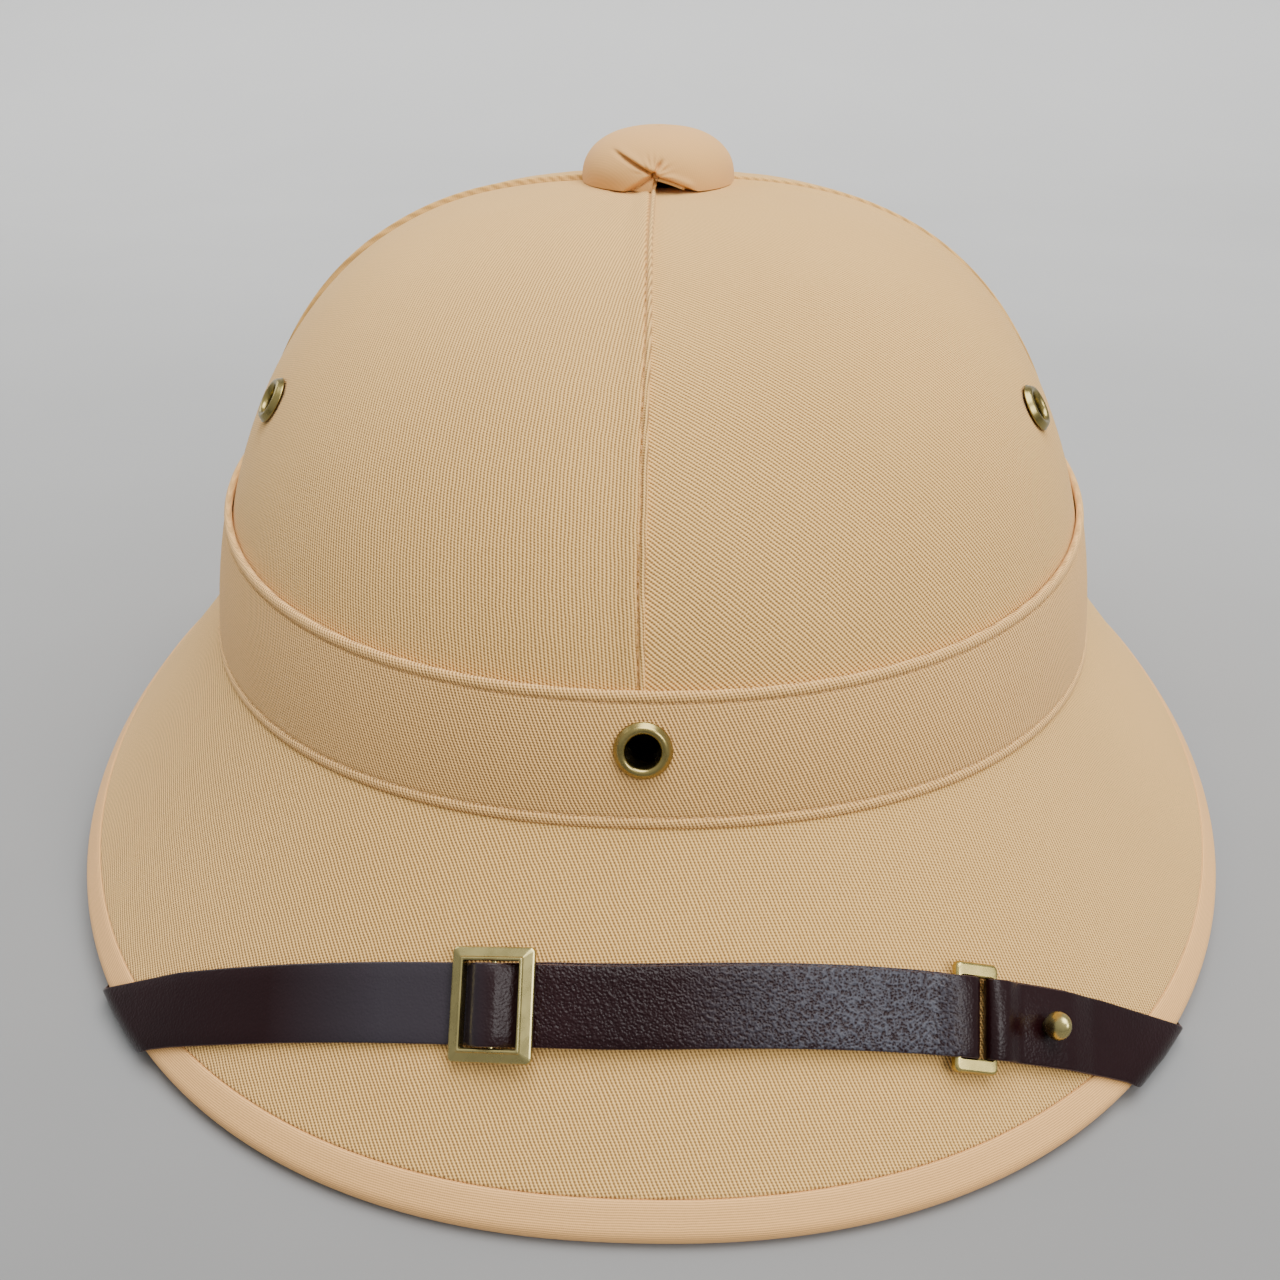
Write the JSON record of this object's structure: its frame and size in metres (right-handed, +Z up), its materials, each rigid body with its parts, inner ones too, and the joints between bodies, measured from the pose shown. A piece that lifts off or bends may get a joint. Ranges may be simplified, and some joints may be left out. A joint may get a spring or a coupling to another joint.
{
  "type": "pith helmet",
  "caption": "Sun helmet with a high cloth-covered crown, a wide bound brim, a vent button, eyelets and a leather chin strap worn over the front of the brim.",
  "frame": {"origin": "centre of the helmet's outline, on the plane that the brim rests on", "axes": "+Z up, the front with the chin strap faces -Y, +X is on the right of someone who looks at the front"},
  "size_m": [0.2698, 0.3319, 0.1502],
  "materials": {
    "pressed_fibre": "matt pressed plant fibre",
    "crown_cloth": "matt cotton twill",
    "band_cloth": "matt cotton twill",
    "binding_cloth": "matt fine cotton",
    "brass": "satin, slightly aged",
    "strap_leather": "satin grain with raw edges"
  },
  "bodies": {
    "root": {"shell": "pressed_fibre", "crown_panel_front_right": "crown_cloth", "crown_panel_back_right": "crown_cloth", "crown_panel_back_left": "crown_cloth", "crown_panel_front_left": "crown_cloth", "band": "band_cloth", "brim_cover": "crown_cloth", "brim_binding": "binding_cloth", "top_button": "crown_cloth", "grommet_front": "brass", "grommet_left": "brass", "grommet_right": "brass", "strap_long": "strap_leather", "strap_short": "strap_leather", "buckle": "brass", "strap_ring": "brass", "stud": "brass", "strap_anchor_left": "brass", "strap_anchor_right": "brass"}
  },
  "joints": []
}
